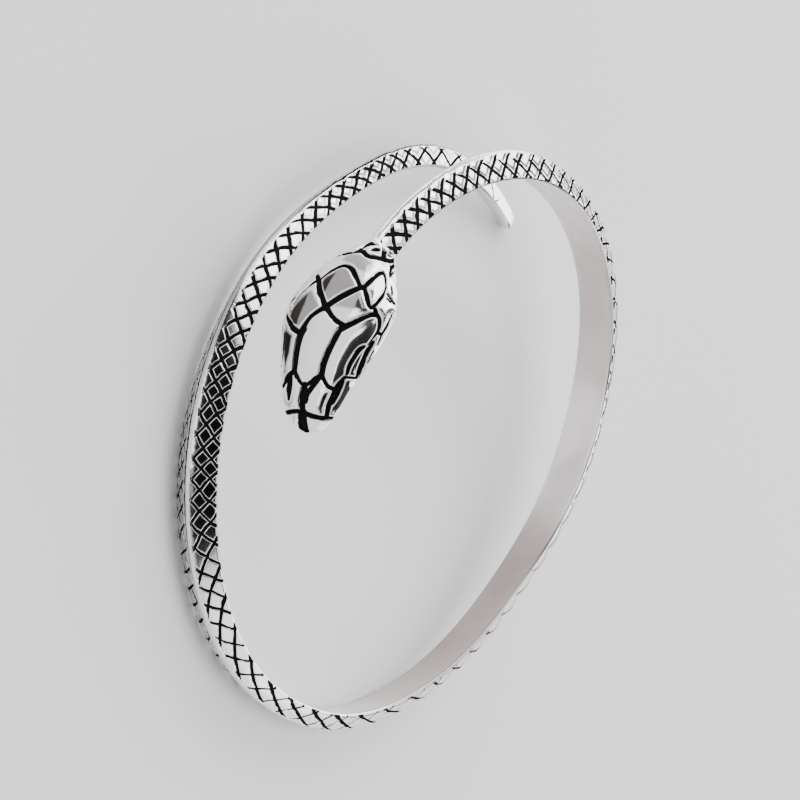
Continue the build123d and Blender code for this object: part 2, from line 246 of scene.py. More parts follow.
def put_in_scene(name, data):
    thing = bpy.data.objects.new(name, data)
    bpy.context.scene.collection.objects.link(thing)
    return thing


def smooth_curve(knots, values):
    """A smooth curve through points, each one's slope taken from its neighbours."""
    before = np.maximum(np.arange(len(knots)) - 1, 0)
    after = np.minimum(np.arange(len(knots)) + 1, len(knots) - 1)
    slopes = (values[after] - values[before]) / (knots[after] - knots[before])

    def value(x):
        x = np.clip(x, knots[0], knots[-1])
        i = np.clip(np.searchsorted(knots, x) - 1, 0, len(knots) - 2)
        span = knots[i + 1] - knots[i]
        t = (x - knots[i]) / span
        rise = values[i + 1] - values[i]
        start = slopes[i] * span - rise
        end = rise - slopes[i + 1] * span
        return values[i] + t * rise + t * (1 - t) * ((1 - t) * start + t * end)

    return value


def smooth_curves(table, columns):
    """A curve for each column of a table, over its first one."""
    knots, *others = np.array(table, float).T
    return {name: smooth_curve(knots, values) for name, values in zip(columns[1:], others)}


def smooth_step(low, high, x):
    t = np.clip((x - low) / (high - low), 0, 1)
    return t * t * (3 - 2 * t)


path = smooth_curves(PATH, PATH_COLUMNS)
cuts = smooth_curves(CUTS, CUT_COLUMNS)
inner_shade = smooth_curves(INNER_SHADE, INNER_SHADE_COLUMNS)["inner_shade"]
head = smooth_curves(HEAD, HEAD_COLUMNS)


def band_radius(share):
    narrow = wrist_width / 2
    return narrow + (wrist_length / 2 - narrow) * path["out"](share)


# Shares of the turn past the neck: where the nose is, and where the lean ends
HEAD_TURN = head_length / (math.radians(turn) * band_radius(1.0))
LEAN_FADE = 0.03


def directions(share):
    """The ways across the band and out from its inner face, at shares of the turn."""
    past_neck = share - np.minimum(share, 1)
    lean = np.radians(path["lean"](np.minimum(share, 1))) * np.maximum(0, 1 - past_neck / LEAN_FADE)
    angle = np.radians(tail_bearing + turn * share)
    radial = np.stack([np.cos(angle), np.sin(angle), 0 * angle], -1)
    up = np.array([0.0, 0.0, 1.0])
    cos, sin = np.cos(lean)[..., None], np.sin(lean)[..., None]
    return cos * up - sin * radial, cos * radial + sin * up


def centre_line(share):
    """Points on the middle of the inner face. Past the neck it rises evenly to the nose."""
    on_band = np.minimum(share, 1)
    angle = np.radians(tail_bearing + turn * share)
    radius = band_radius(on_band)
    height = end_spread * path["rise"](on_band) + head_rise * (share - on_band) / HEAD_TURN
    return np.stack([radius * np.cos(angle), radius * np.sin(angle), height], -1)


def place(share, across, out):
    """Points at shares of the turn, across the band and out from its inner face."""
    share = np.broadcast_to(share, np.shape(across))
    sideways, outwards = directions(share)
    return centre_line(share) + across[..., None] * sideways + out[..., None] * outwards


def roof_height(share, thick, rim, bulge):
    """How far out the roof is, at a share of the way from its soft ridge to the rim."""
    soft = ridge_softness
    fall = ((share * share + soft**2) ** 0.5 - soft) / (math.sqrt(1 + soft**2) - soft)
    return rim + (thick - rim) * (1 - fall) + 4 * bulge * share * (1 - share)


def operator_pair(operation):
    """An operator on wires, and its reflected form."""
    return (lambda wire, other: wire.bench.maths(operation, wire, other),
            lambda wire, other: wire.bench.maths(operation, other, wire))


class Wire:
    """What a node gives out, so that shader maths is written as plain expressions."""

    def __init__(self, bench, socket):
        self.bench = bench
        self.socket = socket

    def other(self, name):
        return Wire(self.bench, self.socket.node.outputs[name])

    __add__, __radd__ = operator_pair("ADD")
    __sub__, __rsub__ = operator_pair("SUBTRACT")
    __mul__, __rmul__ = operator_pair("MULTIPLY")
    __truediv__, __rtruediv__ = operator_pair("DIVIDE")
    __pow__, __rpow__ = operator_pair("POWER")

    def __neg__(self):
        return self.bench.maths("MULTIPLY", self, -1.0)

    def __abs__(self):
        return self.bench.maths("ABSOLUTE", self)


class Bench:
    """A node tree, and the ways in which nodes are put on it."""

    def __init__(self, tree):
        self.tree = tree

    def add(self, kind, inputs=(), settings=(), output=None):
        """A node with its settings made and its sockets filled."""
        node = self.tree.nodes.new(kind)
        for name, value in dict(settings).items():
            setattr(node, name, value)
        for name, value in dict(inputs).items():
            usable = [s for s in node.inputs if s.enabled and s.name == name]
            self.fill(usable[0] if isinstance(name, str) else node.inputs[name], value)
        usable = [s for s in node.outputs if s.enabled] + [None]
        return Wire(self, node.outputs[output] if output else usable[0])

    def fill(self, socket, value):
        if isinstance(value, Wire):
            self.tree.links.new(value.socket, socket)
        else:
            socket.default_value = value

    def maths(self, operation, *values):
        return self.add("ShaderNodeMath", dict(enumerate(values)), {"operation": operation})

    def vector(self, x, y, z):
        return self.add("ShaderNodeCombineXYZ", {"X": x, "Y": y, "Z": z})

    def parts(self, vector):
        x = self.add("ShaderNodeSeparateXYZ", {"Vector": vector}, output="X")
        return x, x.other("Y"), x.other("Z")

    def vector_sum(self, first, second):
        return self.add("ShaderNodeVectorMath", {0: first, 1: second}, {"operation": "ADD"})

    def scaled(self, vector, factor):
        node = {"operation": "SCALE"}
        return self.add("ShaderNodeVectorMath", {"Vector": vector, "Scale": factor}, node)

    def ramp(self, value, low, high):
        """From 0 at low to 1 at high."""
        ends = {"Value": value, "From Min": low, "From Max": high}
        return self.add("ShaderNodeMapRange", ends, {"interpolation_type": "SMOOTHSTEP"})

    def most(self, *values):
        """The largest of two or more."""
        first, *rest = values
        for value in rest:
            first = self.maths("MAXIMUM", first, value)
        return first

    def between(self, value, rise, fall):
        """Up from 0 to 1 over one stretch and down again over another."""
        return self.ramp(value, *rise) * (1 - self.ramp(value, *fall))

    def nearest_whole(self, value):
        """Distance to the nearest whole number."""
        return abs(value - self.maths("ROUND", value))

    def nearest_cut(self, left, right, left_spacing, right_spacing, late):
        """Millimetres to the nearest cut. Where late is 0, the left cuts have ended."""
        near_left = self.nearest_whole(left) * left_spacing + 1 - late
        return self.maths("MINIMUM", near_left, self.nearest_whole(right) * right_spacing)


class GeometryTree:
    """A geometry node tree that turns one mesh into another, with named inputs."""

    def __init__(self, name, kinds):
        self.tree = bpy.data.node_groups.new(name, "GeometryNodeTree")
        self.bench = Bench(self.tree)
        face = self.tree.interface
        face.new_socket("Geometry", in_out="OUTPUT", socket_type="NodeSocketGeometry")
        self.keys = {}
        for name, kind in kinds.items():
            socket = face.new_socket(name, in_out="INPUT", socket_type="NodeSocket" + kind)
            self.keys[name] = socket.identifier
        inputs = self.bench.add("NodeGroupInput")
        self.given = {name: inputs.other(name) for name in kinds}

    def finish(self, geometry):
        """Ends the tree: one welded mesh with its material."""
        for kind, inputs in (("GeometryNodeRealizeInstances", {}),
                             ("GeometryNodeMergeByDistance", {"Distance": self.given["Weld"]}),
                             ("GeometryNodeSetMaterial", {"Material": self.given["Silver"]})):
            geometry = self.bench.add(kind, {"Geometry": geometry, **inputs})
        self.bench.add("NodeGroupOutput", {"Geometry": geometry})


# Points of the centre line, faces across one scale, and the grid of rims and inner face
SPINE_POINTS = 800
SCALE_FACES = 8
UNDER_ROWS = 14
UNDER_COLUMNS = 460
RIM_SQUARENESS = 0.38
WELD, LATTICE_WELD = 1e-6, 0.01
NEAR, TOUCHING = 1e-4, 1e-5
OFF_ROOF = 9

# How many lanes more the cuts stop short of the ridge on the far slope, its share of the
# painted dark reflection on the scales, the far lane where the ridge's own painted dark
# reflection begins, and how long the plain end at the neck and the worn tip of the tail are
FAR_MARGIN = 0.5
FAR_PAINTED_SHADE = 0.2
RIDGE_LANE = -0.3
PLAIN_NECK = 0.0006
WORN_TIP = 0.0014

# Where the rows of points lie beside a groove: shares of its width, and the most that each
# takes of the scale
GROOVE_ROWS = (0.16, 0.46, 0.76)
ROW_LIMIT = 0.14

# Extra edges along the slope, at the foot of the ridge, the rib's line and the rim
EDGE_LANES = (0.20, rib_lane, 2.86)

# Extra edges across the band in the rounded tip of the tail, in millimetres
TIP_STEPS = (0.03, 0.09, 0.19, 0.33, 0.52, 0.78, 1.10, 1.50)

# Steps along the whole band, which also measure it, and across a slope: enough to miss no scale
BAND_STEPS, LANE_STEPS = 4001, 61
steps = np.linspace(0, 1, BAND_STEPS)
inner_line = centre_line(steps)
measured = np.concatenate([[0.0], np.cumsum(np.linalg.norm(np.diff(inner_line, axis=0), axis=1))])
band_length = float(measured[-1])


def cuts_passed(share, lane):
    """How many left and right cuts lie behind a place on the slope."""
    left = cuts["left"](share) + (lane - 2) * cuts["left_lean"](share)
    right = cuts["right"](share) - (lane - 2) * cuts["right_lean"](share)
    return left, right


# The search for a place by its cuts: steps, the share of the way that each goes, and roughly
# how many cuts the whole band has, which makes a number of cuts a share of the turn
SEARCH_STEPS, SEARCH_PACE, CUTS_IN_ALL = 60, 0.8, 100


def where_cut(left, right):
    """The share of the length and the lane at which so many cuts have been passed."""
    share = np.full(left.shape, 0.5)
    for _ in range(SEARCH_STEPS):
        left_lean, right_lean = cuts["left_lean"](share), cuts["right_lean"](share)
        left_short, right_short = left - cuts["left"](share), right - cuts["right"](share)
        short = left_short * right_lean + right_short * left_lean
        step = SEARCH_PACE * short / (CUTS_IN_ALL * (left_lean + right_lean))
        share = np.clip(share + step, CUTS[0][0], CUTS[-1][0])
    lane = 2 + (left - cuts["left"](share)) / cuts["left_lean"](share)
    return share, lane


def cut_spacing(share):
    """Millimetres between neighbouring cuts of each slant."""
    step = 0.001
    lane_width = 1000 * band_width / 2 * path["width"](share) / scale_lanes
    found = []
    for name in ("left", "right"):
        ahead, behind = cuts[name](share + step), cuts[name](share - step)
        along = (ahead - behind) / (2 * step * 1000 * band_length)
        found.append(1 / np.hypot(along, cuts[name + "_lean"](share) / lane_width))
    return found


def beside_grooves(count, spacing, wide):
    """Moves points towards the grooves, which lie at whole numbers of cuts."""
    whole = np.round(count)
    reach = abs(count - whole) * SCALE_FACES
    rows = [0 * spacing]
    for i, share in enumerate(GROOVE_ROWS, 1):
        rows.append(np.minimum(share * wide / spacing, ROW_LIMIT * i))
    rows.append(0 * spacing + 0.5)
    moved = 0 * count
    for i in range(len(rows) - 1):
        moved = np.where(reach >= i, rows[i] + (rows[i + 1] - rows[i]) * (reach - i), moved)
    return whole + np.sign(count - whole) * moved


class ScaleTree(GeometryTree):
    """Square scales set side by side, by how many cuts of each slant have been passed."""

    def __init__(self):
        super().__init__("scale_lattice", {"Seeds": "Geometry", "Faces": "Int", "Weld": "Float",
                                           "Silver": "Material"})
        bench, side = self.bench, self.given["Faces"] + 1
        grid = {"Size X": 1.0, "Size Y": 1.0, "Vertices X": side, "Vertices Y": side}
        scale = bench.add("GeometryNodeMeshGrid", grid)
        seeds = bench.add("GeometryNodeMeshToPoints", {"Mesh": self.given["Seeds"]})
        self.finish(bench.add("GeometryNodeInstanceOnPoints", {"Points": seeds, "Instance": scale}))


def grown(seed_mesh, node_tree, values):
    """The plain mesh that a node tree makes from another."""
    carrier = put_in_scene(seed_mesh.name, seed_mesh)
    growth = carrier.modifiers.new(seed_mesh.name, "NODES")
    growth.node_group = node_tree.tree
    for name, value in values.items():
        growth[node_tree.keys[name]] = value
    bpy.context.view_layer.update()
    evaluated = carrier.evaluated_get(bpy.context.evaluated_depsgraph_get())
    mesh = bpy.data.meshes.new_from_object(evaluated)
    bpy.data.objects.remove(carrier)
    return mesh


def scale_seeds():
    """The middle of every scale that reaches the slope."""
    share, lane = np.meshgrid(steps, np.linspace(0, scale_lanes, LANE_STEPS))
    squares = np.floor(np.stack(cuts_passed(share, lane), -1)).reshape(-1, 2)
    middles = np.unique(squares, axis=0) + 0.5
    mesh = bpy.data.meshes.new("scale_seeds")
    mesh.from_pydata([(x, y, 0) for x, y in middles.tolist()], [], [])
    return mesh


def flat_slope(lattice):
    """One slope laid flat, millimetres along and lanes across, cut to its edges."""
    counts = np.array([v.co for v in lattice.vertices])[:, :2]
    share, _ = where_cut(counts[:, 0], counts[:, 1])
    wide = 1000 * groove_width * cuts["wide"](share)
    left, right = (beside_grooves(count, spacing, wide)
                   for count, spacing in zip(counts.T, cut_spacing(share)))
    share, lane = where_cut(left, right)
    flat = bmesh.new()
    flat.from_mesh(lattice)
    for point, along, across in zip(flat.verts, share * band_length * 1000, lane):
        point.co = (along, across, 0)
    end = 1000 * band_length
    borders = [((0, 0, 0), (-1, 0, 0)), ((end, 0, 0), (1, 0, 0)),
               ((0, 0, 0), (0, -1, 0)), ((0, scale_lanes, 0), (0, 1, 0))]
    borders += [((0, lane, 0), (0, 1, 0)) for lane in EDGE_LANES]
    borders += [((along, 0, 0), (1, 0, 0)) for along in TIP_STEPS]
    for i, (spot, facing) in enumerate(borders):
        everything = flat.verts[:] + flat.edges[:] + flat.faces[:]
        bmesh.ops.bisect_plane(flat, geom=everything, dist=TOUCHING, plane_co=spot,
                               plane_no=facing, clear_outer=i < 4)
    bmesh.ops.triangulate(flat, faces=flat.faces[:])
    bmesh.ops.remove_doubles(flat, verts=flat.verts[:], dist=NEAR)
    flat.to_mesh(lattice)
    flat.free()
    points = np.clip(np.array([v.co for v in lattice.vertices])[:, :2], 0, (end, scale_lanes))
    faces = np.array([p.vertices for p in lattice.polygons])
    a, b, c = points[faces[:, 0]], points[faces[:, 1]], points[faces[:, 2]]
    turn_way = (b[:, 0] - a[:, 0]) * (c[:, 1] - a[:, 1]) - (b[:, 1] - a[:, 1]) * (c[:, 0] - a[:, 0])
    faces[turn_way < 0] = faces[turn_way < 0][:, ::-1]
    return points, faces


def zip_lines(first, second, first_at, second_at):
    """Triangles between two lines of points, given as numbers of points with their places."""
    triangles = []
    i = j = 0
    while i < len(first) - 1 or j < len(second) - 1:
        if j == len(second) - 1 or (i < len(first) - 1 and first_at[i + 1] <= second_at[j + 1]):
            triangles.append((first[i], first[i + 1], second[j]))
            i += 1
        else:
            triangles.append((first[i], second[j + 1], second[j]))
            j += 1
    return triangles


def flat_band(points, faces):
    """Both slopes, the rims and the inner face as one flat skin, open at its two ends."""
    count = len(points)
    mirror = np.arange(count, 2 * count)
    on_ridge = abs(points[:, 1]) < NEAR
    mirror[on_ridge] = np.flatnonzero(on_ridge)
    both = np.vstack([points, points * (1, -1)])
    under_x = np.linspace(0, 1000 * band_length, UNDER_COLUMNS + 1)
    under_x = np.sort(np.append(under_x[under_x != under_x[1]], TIP_STEPS))
    under_y = scale_lanes + np.arange(1, UNDER_ROWS)
    grid = np.stack(np.meshgrid(under_x, under_y), -1).reshape(-1, 2)
    number = 2 * count + np.arange(len(grid)).reshape(len(under_y), len(under_x))
    corners = (number[:-1, :-1], number[:-1, 1:], number[1:, 1:], number[1:, :-1])
    skin = [*faces, *mirror[faces][:, ::-1], *np.stack(corners, -1).reshape(-1, 4)]
    rim = np.flatnonzero(points[:, 1] > scale_lanes - NEAR)
    rim = rim[np.argsort(points[rim, 0])]
    skin += zip_lines(rim, number[0], points[rim, 0], under_x)
    skin += zip_lines(number[-1], mirror[rim], under_x, points[rim, 0])
    mesh = bpy.data.meshes.new("flat_band")
    whole = np.vstack([both, grid])
    mesh.from_pydata([(x, y, 0) for x, y in whole.tolist()], [], [tuple(map(int, f)) for f in skin])
    share = whole[:, 0] / (1000 * band_length)
    lane = whole[:, 1]
    on_roof = abs(lane) <= scale_lanes
    left, right = cuts_passed(share, abs(np.minimum(lane, scale_lanes)))
    left_spacing, right_spacing = cut_spacing(share)
    known = {name: curve(share) for name, curve in cuts.items()}
    started = smooth_step(plain_tail, plain_tail + scale_fade, share * band_length)
    ended = smooth_step(0, PLAIN_NECK, band_length * (1 - share))
    cut_here = started * ended * on_roof
    margin = known["margin"] + np.where(lane < 0, FAR_MARGIN, 0)
    inner = np.where(on_roof, 0, np.sin(np.pi * np.clip((lane - scale_lanes) / UNDER_ROWS, 0, 1)))
    worn = 1 - smooth_step(WORN_TIP / 3, WORN_TIP, share * band_length)
    inner = np.maximum(inner, worn)
    keep_vectors(mesh, "lattice", left, right, np.where(on_roof, lane, OFF_ROOF))
    keep_vectors(mesh, "spacing", left_spacing / known["heavy"], right_spacing, margin)
    # Painted dark reflection on the scales and along the ridge; off the roof, painted shade and
    # highlight on the inner face
    painted_shading = np.where(lane < 0, FAR_PAINTED_SHADE, 1) * known["painted_shading"]
    painted_shading = np.where((lane > RIDGE_LANE) & (lane < margin), known["ridge_painted_shade"], painted_shading)
    painted_shading = np.where(on_roof, painted_shading, inner_shade(share))
    wide = 1000 * groove_width * known["wide"]
    keep_vectors(mesh, "cutting", known["deep"] * cut_here, wide, painted_shading)
    rib = np.where(lane < 0, known["far_rib"], known["rib"]) * cut_here
    keep_vectors(mesh, "border", rib, inner, margin + known["short"])
    # Painted shade line inside each scale, then the worn tip of the tail
    keep_vectors(mesh, "echo", known["echo"] * cut_here, worn, 0 * share)
    return mesh


def keep_vectors(mesh, name, *columns):
    values = np.stack(columns, -1).astype(np.float32)
    mesh.attributes.new(name, "FLOAT_VECTOR", "POINT").data.foreach_set("vector", values.ravel())


BAND_VECTORS = ("lattice", "spacing", "cutting", "border", "echo")


def spine_mesh():
    """The centre line, with what each point knows of the section there."""
    share = np.interp(np.linspace(0, band_length, SPINE_POINTS + 1), measured, steps)
    across, out = directions(share)
    half = band_width / 2 * path["width"](share)
    thick = band_thickness * path["thick"](share)
    mesh = bpy.data.meshes.new("centre_line")
    mesh.from_pydata(centre_line(share).tolist(), [(i, i + 1) for i in range(SPINE_POINTS)], [])
    keep_vectors(mesh, "across", *across.T)
    keep_vectors(mesh, "out", *out.T)
    keep_vectors(mesh, "section", half, thick, 0 * share)
    return mesh


BAND_SIZES = {
    "Length": 1000 * band_length,
    "Lanes": float(scale_lanes),
    "Groove Depth": groove_depth,
    "Rib Lane": rib_lane,
    "Rib Depth": rib_depth,
    "Rim Height": rim_height,
    "Roof Bulge": roof_bulge,
    "Tail Round": 1000 * tail_round,
    "Under Rows": float(UNDER_ROWS),
    "Wobble": 0.36,
    "Seed": 4.0,
    "Weld": WELD,
}


# How quickly the graver's waver changes along and across, and how it sets in, in millimetres
WAVER_ALONG, WAVER_ACROSS = 0.38, 0.7
WAVER_START, WAVER_END = (2, 9), (0.5, 6)

# Where the graver's cut falls away: shares of its width, and lanes past the margin, before the
# rim, beside the lines of the ridge and past the left cuts' own margin
GROOVE_WALL = (0.12, 0.46)
MARGIN_START = (-0.04, 0.16)
RIM_END = (2.84, 2.98)
RIB_REACH = 0.16
LEFT_START = (-0.05, 0.15)


class WindingTree(GeometryTree):
    """Winds the flat skin on the centre line and cuts its grooves."""

    def __init__(self):
        sizes = {name: "Float" for name in BAND_SIZES}
        super().__init__("winding", {"Flat": "Geometry", **sizes, "Spine": "Object",
                                     "Silver": "Material"})
        bench = self.bench
        spine = bench.add("GeometryNodeObjectInfo", {"Object": self.given["Spine"]})
        self.spine = bench.add("GeometryNodeMeshToCurve", {"Mesh": spine.other("Geometry")})
        self.along, self.across, _ = bench.parts(bench.add("GeometryNodeInputPosition"))
        lowest = bench.maths("MINIMUM", self.across, self.given["Lanes"])
        on_roof = bench.maths("COMPARE", lowest, self.across, NEAR)
        roof, under = self.roof_spot(), self.under_spot()
        spot = bench.add("GeometryNodeSwitch", {"Switch": on_roof, "False": under, "True": roof},
                         {"input_type": "VECTOR"})
        moved = {"Geometry": self.given["Flat"], "Position": spot}
        self.finish(bench.add("GeometryNodeSetPosition", moved))

    def named(self, name):
        kind = {"data_type": "FLOAT_VECTOR"}
        return self.bench.add("GeometryNodeInputNamedAttribute", {"Name": name}, kind)

    def sampled(self, name, along, output="Value"):
        """What the centre line knows at a place along it."""
        factor = along / self.given["Length"]
        at = {"Curves": self.spine, "Value": self.named(name), "Factor": factor}
        kind = {"mode": "FACTOR", "use_all_curves": True, "data_type": "FLOAT_VECTOR"}
        return self.bench.add("GeometryNodeSampleCurve", at, kind, output=output)

    def wavered(self, lane):
        """Where the graver really cut: never quite even."""
        bench, x, end = self.bench, self.along, self.given["Length"]
        where = bench.vector(x * WAVER_ALONG, lane * WAVER_ACROSS, self.given["Seed"])
        waver = bench.add("ShaderNodeTexNoise", {"Vector": where, "Scale": 1.0, "Detail": 1.0})
        inner = bench.ramp(x, *WAVER_START) * bench.ramp(end - x, *WAVER_END)
        return x + inner * self.given["Wobble"] * 2 * (waver - 0.5)

    def tip(self, along):
        """Share of its size that the section has in the rounded tip of the tail."""
        near = 1 - self.bench.maths("MINIMUM", along / self.given["Tail Round"], 1.0)
        return (1 - near * near) ** 0.5

    def on_spine(self, along, across, out, thick):
        """A point of the section at a place along, drawn together towards the tip."""
        bench = self.bench
        tip = self.tip(along)
        middle = thick / 2
        side = bench.scaled(self.sampled("across", along), across * tip)
        up = bench.scaled(self.sampled("out", along), middle + (out - middle) * tip)
        centre = self.sampled("across", along, "Position")
        return bench.vector_sum(bench.vector_sum(centre, side), up)

    def rim(self, thick):
        return self.bench.maths("MINIMUM", self.given["Rim Height"], thick / 3)

    def carving(self, lane):
        """How far the graver moved the surface out, in metres."""
        bench, size = self.bench, self.given
        left, right, _ = bench.parts(self.named("lattice"))
        left_spacing, right_spacing, margin = bench.parts(self.named("spacing"))
        deep, wide, _ = bench.parts(self.named("cutting"))
        rib, _, left_margin = bench.parts(self.named("border"))
        late = bench.ramp(abs(lane) - left_margin, *LEFT_START)
        reach = bench.nearest_cut(left, right, left_spacing, right_spacing, late)
        groove = 1 - bench.ramp(reach / wide, *GROOVE_WALL)
        beyond = bench.between(abs(lane), [margin + lanes for lanes in MARGIN_START], RIM_END)
        line = (1 - bench.ramp(abs(abs(lane) - size["Rib Lane"]), 0.0, RIB_REACH)) * rib
        return -deep * beyond * size["Groove Depth"] * groove - size["Rib Depth"] * line

    def roof_spot(self):
        bench, lane, size = self.bench, self.across, self.given
        half, thick, _ = bench.parts(self.sampled("section", self.along))
        roof = roof_height(abs(lane) / size["Lanes"], thick, self.rim(thick), size["Roof Bulge"])
        out = roof + self.carving(lane)
        return self.on_spine(self.wavered(lane), half * lane / size["Lanes"], out, thick)

    def under_spot(self):
        bench, size = self.bench, self.given
        round_share = (self.across - size["Lanes"]) / size["Under Rows"]
        cos = bench.maths("COSINE", math.pi * round_share)
        sin = bench.maths("MAXIMUM", bench.maths("SINE", math.pi * round_share), 0.0)
        half, thick, _ = bench.parts(self.sampled("section", self.along))
        lane = size["Lanes"] * bench.maths("SIGN", cos)
        along = self.wavered(lane) * (1 - sin) + self.along * sin
        across = half * bench.maths("SIGN", cos) * abs(cos) ** RIM_SQUARENESS
        out = self.rim(thick) * (1 - sin**RIM_SQUARENESS)
        return self.on_spine(along, across, out, thick)


def scale_band(silver):
    """The band's mesh, open where the head begins."""
    sizes = {"Faces": SCALE_FACES, "Weld": LATTICE_WELD, "Silver": silver}
    lattice = grown(scale_seeds(), ScaleTree(), sizes)
    flat = flat_band(*flat_slope(lattice))
    spine = put_in_scene("centre_line", spine_mesh())
    band = grown(flat, WindingTree(), {**BAND_SIZES, "Spine": spine, "Silver": silver})
    bpy.data.objects.remove(spine)
    return band


# Rows and columns of the head's skin, and how strongly the rows draw together at the nose
HEAD_ROWS = 190
CROWN_COLUMNS = 150
CHIN_COLUMNS = 24
ROW_PULL = 0.25

# Shares of the head's length over which the neck blends in and the nose is rounded, the share
# of its height that the nose keeps, and how far a plate swells inwards from its groove
NECK_BLEND = 0.10
NOSE_ROUND = 0.10
NOSE_BLUNT = 0.25
PLATE_SHOULDER = 0.0006

# A plate's wall and its raised edge, in widths of the groove from its middle, and the shares
# of the head's length and of its side over which the relief starts
PLATE_WALL, BURR_RISE, BURR_FALL = (0.10, 0.54), (0.42, 0.60), (0.62, 1.1)
NECK_FADE, JAW_FADE = 0.02, 0.06


def along_head():
    """Shares of the head's length at its rows, closer together at the nose."""
    even = np.linspace(0, 1, HEAD_ROWS + 1)
    return even + ROW_PULL * even * (1 - even)


# Strokes from one mark of a cut to the next, and how far along the head one can be felt
CUT_STEPS = 6
STROKE_REACH = 0.12


def plate_strokes():
    """Every cut between the plates as short straight strokes: two ends and their widths."""
    sided = [(marks, 1) for marks in [*PLATE_CUTS.values(), *PAIRED_CUTS.values()]]
    sided += [(marks, -1) for marks in PAIRED_CUTS.values()]
    for marks, side in sided:
        knots = np.arange(len(marks))
        fine = np.linspace(0, knots[-1], CUT_STEPS * knots[-1] + 1)
        along, round_share, wide = np.array(marks).T
        columns = along / 100, side * (round_share / 100), wide / 10
        curve = np.stack([smooth_curve(knots, column)(fine) for column in columns], -1)
        yield from zip(curve[:-1], curve[1:])


# The hand's waves, along the head and round it: how far they reach, and how quickly each
# changes both ways and where it starts
WAVES = (0.0010, (31, 5, 0), (17, -9, 1)), (0.004, (23, 11, 2), (13, -7, 0))


def hand_waver(along, round_share):
    """Small shifts that keep the graver's lines from being ruler straight."""
    return [reach * sum(np.sin(a * along + b * round_share + c) for a, b, c in waves)
            for reach, *waves in WAVES]


def groove_reach(along, round_share, crown_arc):
    """Distance to the middle of the nearest groove, less what its half width has over plain."""
    shift_along, shift_round = hand_waver(along, round_share)
    px, py = (along + shift_along) * head_length, (round_share + shift_round) * crown_arc
    nearest = np.full(px.shape, head_length)
    for (ax, ay, a_wide), (bx, by, b_wide) in plate_strokes():
        ends = min(ax, bx) - STROKE_REACH, max(ax, bx) + STROKE_REACH
        rows = slice(*np.searchsorted(along[:, 0], ends))
        x, y, arc = px[rows], py[rows], crown_arc[rows]
        sx, sy = ax * head_length, ay * arc
        dx, dy = (bx - ax) * head_length, (by - ay) * arc
        t = np.clip(((x - sx) * dx + (y - sy) * dy) / (dx * dx + dy * dy), 0, 1)
        reach = np.hypot(x - sx - t * dx, y - sy - t * dy)
        wide = a_wide + t * (b_wide - a_wide)
        reach = np.maximum(reach - (wide - 1) * plate_groove / 2, 0)
        nearest[rows] = np.minimum(nearest[rows], reach)
    return nearest


def darkened(along, round_share, crown_arc):
    """How dark each point of the head's skin is painted, as painted dark reflection."""
    dark = 0 * crown_arc
    for amount, *corners in PAINTED_REFLECTION_PATCHES.values():
        inside = np.full(dark.shape, head_length)
        corners = [(x / 100, y / 100) for x, y in corners]
        sides = list(zip(corners, corners[1:] + corners[:1]))
        turn_way = sum(a[0] * b[1] - b[0] * a[1] for a, b in sides)
        for (ax, ay), (bx, by) in sides:
            dx, dy = (bx - ax) * head_length, (by - ay) * crown_arc
            px, py = (along - ax) * head_length, (round_share - ay) * crown_arc
            inside = np.minimum(inside, np.sign(turn_way) * (dx * py - dy * px) / np.hypot(dx, dy))
        dark = np.maximum(dark, amount * smooth_step(-REFLECTION_PATCH_EDGE, REFLECTION_PATCH_EDGE, inside))
    return dark


def head_grid():
    """Rings of the head's skin from the neck to the nose, and the reach of its grooves."""
    along = along_head()[:, None]
    past = np.clip((along - 1 + NOSE_ROUND) / NOSE_ROUND, 0, 1)
    cap = np.sqrt(1 - past**2)
    half = head_width / 2 * head["width"](along) * cap
    crown = head_height * head["height"](along) * (NOSE_BLUNT + (1 - NOSE_BLUNT) * cap)
    jaw = np.minimum(jaw_height, crown / 3)
    round_share = np.linspace(1, -1, CROWN_COLUMNS + 1)[None, :]
    angle = math.pi / 2 * round_share
    across = half * np.sin(angle)
    lane = abs(np.sin(angle))
    neck_thick = band_thickness * path["thick"](1.0)
    roof = roof_height(lane, neck_thick, min(rim_height, neck_thick / 3), roof_bulge)
    dome = jaw + (crown - jaw) * np.cos(angle)
    blend = smooth_step(0, NECK_BLEND, along)
    out = roof * (1 - blend) + dome * blend
    chin = np.linspace(0, math.pi, CHIN_COLUMNS + 1)[None, 1:-1]
    edge = out[:, -1:]
    square = 1 - (1 - RIM_SQUARENESS) * (1 - blend)
    below_across = -half * np.sign(np.cos(chin)) * abs(np.cos(chin)) ** square
    below_out = edge * (1 - np.sin(chin) ** square)
    share = 1 + along * HEAD_TURN
    points = place(share, np.hstack([across, below_across]), np.hstack([out, below_out]))
    crown_arc = math.pi / 2 * np.sqrt((half**2 + (crown - jaw) ** 2) / 2)
    spots = np.broadcast_arrays(along, round_share, crown_arc)
    reach, dark = groove_reach(*spots), darkened(*spots)
    far = np.full((len(along), chin.shape[1]), head_length)
    round_share = np.hstack([spots[1], far / head_length])
    return points, np.hstack([reach, far]), round_share, np.hstack([dark, 0 * far])


def grid_normals(points):
    along = np.gradient(points, axis=0)
    wrapped = np.concatenate([points[:, -1:], points, points[:, :1]], axis=1)
    around = (wrapped[:, 2:] - wrapped[:, :-2]) / 2
    normals = np.cross(around, along)
    return normals / np.maximum(np.linalg.norm(normals, axis=-1, keepdims=True), 1e-12)


def ring_shares(points):
    """Shares of the way round a closed ring at its points and back at the first."""
    lengths = np.linalg.norm(np.roll(points, -1, 0) - points, axis=1)
    return np.append(np.append(0, np.cumsum(lengths)[:-1]) / lengths.sum(), 1)


